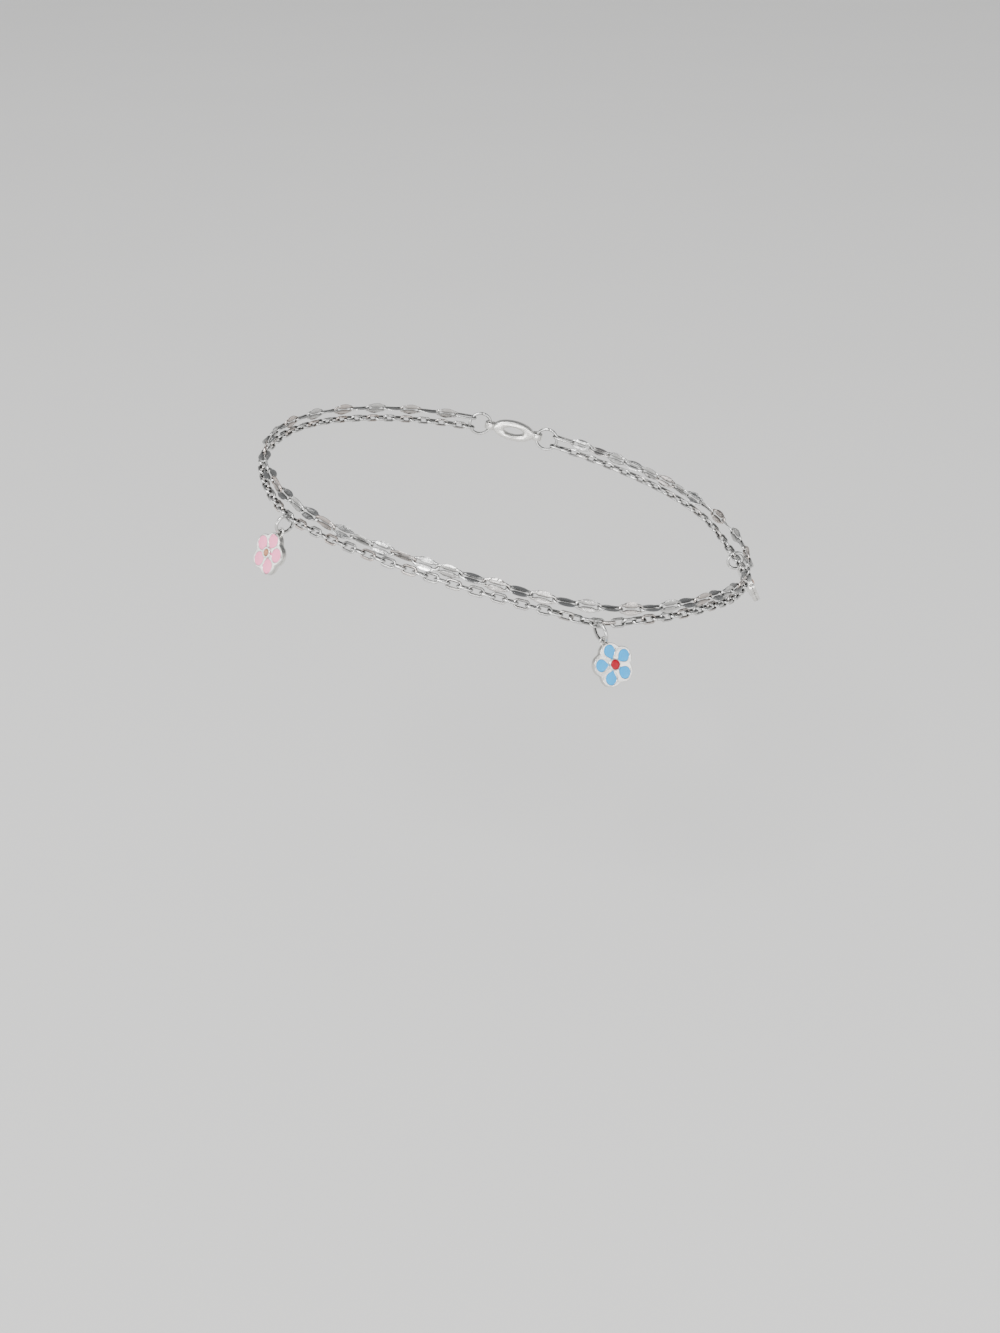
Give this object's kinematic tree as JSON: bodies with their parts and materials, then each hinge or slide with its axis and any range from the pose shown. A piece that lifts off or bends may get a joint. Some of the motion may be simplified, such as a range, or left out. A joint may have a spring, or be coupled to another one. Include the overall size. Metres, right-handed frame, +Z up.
{
  "type": "charm anklet",
  "caption": "two-strand chain anklet in worn shape: hammered leaf-link strand over a fine cable strand, enamelled flower charms on jump rings, plain clasp behind",
  "frame": {"origin": "the middle of the loop, inside the ankle that wears it", "axes": "+Z up as worn, -Y the wearer's front of the ankle, +X to the right of that view and towards the low side of the loop"},
  "size_m": [0.0804, 0.0724, 0.0304],
  "materials": {
    "polished_steel": "polished",
    "pink_enamel": "gloss",
    "mauve_enamel": "gloss",
    "blue_enamel": "gloss",
    "red_enamel": "gloss",
    "peach_enamel": "gloss"
  },
  "bodies": {
    "root": {"leaf_link_strand": "polished_steel", "cable_strand": "polished_steel", "left_flower_jump_ring": "polished_steel", "left_flower_casting": "polished_steel", "left_flower_petal_1": "pink_enamel", "left_flower_petal_2": "pink_enamel", "left_flower_petal_3": "pink_enamel", "left_flower_petal_4": "pink_enamel", "left_flower_petal_5": "pink_enamel", "left_flower_dot": "peach_enamel", "middle_flower_jump_ring": "polished_steel", "middle_flower_casting": "polished_steel", "middle_flower_petal_1": "blue_enamel", "middle_flower_petal_2": "blue_enamel", "middle_flower_petal_3": "blue_enamel", "middle_flower_petal_4": "blue_enamel", "middle_flower_petal_5": "blue_enamel", "middle_flower_dot": "red_enamel", "right_flower_jump_ring": "polished_steel", "right_flower_casting": "polished_steel", "right_flower_petal_1": "mauve_enamel", "right_flower_petal_2": "mauve_enamel", "right_flower_petal_3": "mauve_enamel", "right_flower_petal_4": "mauve_enamel", "right_flower_petal_5": "mauve_enamel", "right_flower_dot": "peach_enamel", "left_end_ring": "polished_steel", "right_end_ring": "polished_steel", "clasp": "polished_steel"}
  },
  "joints": []
}
